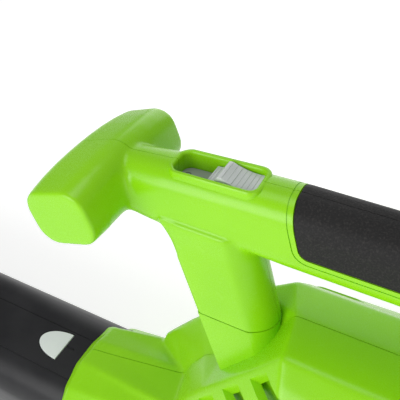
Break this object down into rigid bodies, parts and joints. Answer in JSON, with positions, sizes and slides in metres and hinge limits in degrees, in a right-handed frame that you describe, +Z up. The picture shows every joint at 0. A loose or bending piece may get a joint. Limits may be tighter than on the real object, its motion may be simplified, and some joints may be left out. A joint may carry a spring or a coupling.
{
  "type": "leaf blower",
  "caption": "Hand-held cordless leaf blower: two-shell body with a centrifugal fan, loop handle with a T-shaped front grip and speed slider, square-round tube, flat nozzle and slide-in battery.",
  "frame": {"origin": "on the ground plane right below the fan's axis, at the underside of the middle foot", "axes": "+Z up, -X the way the air blows out of the tube, +X the way the battery slides out, Y along the fan's axis"},
  "size_m": [0.9725, 0.1262, 0.386],
  "materials": {
    "green_shell": "satin moulded plastic with a fine spark texture",
    "black_tube": "semi-gloss moulded plastic",
    "grip_rubber": "soft-touch overmould, matte, fine grain",
    "grey_plastic": "satin",
    "pale_plastic": "satin",
    "steel": "machined",
    "alloy": "cast",
    "brass": "machined",
    "circuit_board": "solder mask",
    "lead_insulation": "satin",
    "cell_wrap": "shrink sleeve"
  },
  "bodies": {
    "body": {"housing_left": "green_shell", "housing_right": "green_shell", "handle_left": "green_shell", "handle_right": "green_shell", "grip_pad_left": "grip_rubber", "grip_pad_right": "grip_rubber", "scroll_wall": "grey_plastic", "scroll_cover": "grey_plastic", "motor_bracket": "grey_plastic", "motor_can": "steel", "motor_end_bell": "grey_plastic", "front_bearing": "steel", "rear_bearing": "steel", "intake_grille": "black_tube", "switch_plate": "grey_plastic", "slide_control": "circuit_board", "terminal_block": "black_tube", "control_board": "circuit_board", "heat_sink": "alloy", "motor_lead_a": "lead_insulation", "motor_lead_b": "lead_insulation", "switch_lead": "lead_insulation", "front_foot": "grip_rubber", "middle_foot": "grip_rubber", "rear_foot": "grip_rubber", "housing_screw_1": "steel", "housing_screw_2": "steel", "housing_screw_3": "steel", "housing_screw_4": "steel", "housing_screw_5": "steel", "handle_screw_1": "steel", "handle_screw_2": "steel", "handle_screw_3": "steel", "handle_screw_4": "steel"},
    "fan": {"fan_impeller": "alloy", "fan_nut": "brass", "motor_shaft": "steel", "motor_rotor": "steel"},
    "slider": {"speed_slider": "pale_plastic", "slider_carriage": "grey_plastic"},
    "tube": {"blow_tube": "black_tube", "tube_button_spring": "steel"},
    "tube_release": {"tube_button": "pale_plastic"},
    "nozzle_piece": {"nozzle": "black_tube"},
    "battery": {"battery_tray": "black_tube", "battery_lid": "black_tube", "battery_board": "circuit_board", "latch_spring": "steel", "battery_cell_1": "cell_wrap", "battery_cell_2": "cell_wrap", "battery_cell_3": "cell_wrap", "battery_cell_4": "cell_wrap", "battery_cell_5": "cell_wrap", "battery_cell_6": "cell_wrap", "battery_cell_7": "cell_wrap", "battery_cell_8": "cell_wrap"},
    "battery_latch": {"latch_button": "grey_plastic"}
  },
  "joints": [
    {"name": "fan_spin", "type": "hinge", "parent": "body", "child": "fan", "pos_m": [0, 0, 0.126], "axis": [0, 1, 0], "continuous": true},
    {"name": "speed_slide", "type": "slide", "parent": "body", "child": "slider", "axis": [1, 0, 0], "range_m": [-0.018, 0]},
    {"name": "tube_pull", "type": "slide", "parent": "body", "child": "tube", "axis": [-1, 0, 0], "range_m": [0, 0.047]},
    {"name": "tube_button_press", "type": "slide", "parent": "tube", "child": "tube_release", "axis": [0, 0, -1], "range_m": [0, 0.003], "stiffness_N_per_m": 900, "springref_m": -0.002},
    {"name": "nozzle_pull", "type": "slide", "parent": "tube", "child": "nozzle_piece", "axis": [-1, 0, 0], "range_m": [0, 0.04]},
    {"name": "battery_slide", "type": "slide", "parent": "body", "child": "battery", "axis": [1, 0, 0], "range_m": [0, 0.1]},
    {"name": "battery_latch_press", "type": "slide", "parent": "battery", "child": "battery_latch", "axis": [-1, 0, 0], "range_m": [0, 0.0035], "stiffness_N_per_m": 900, "springref_m": -0.002}
  ]
}
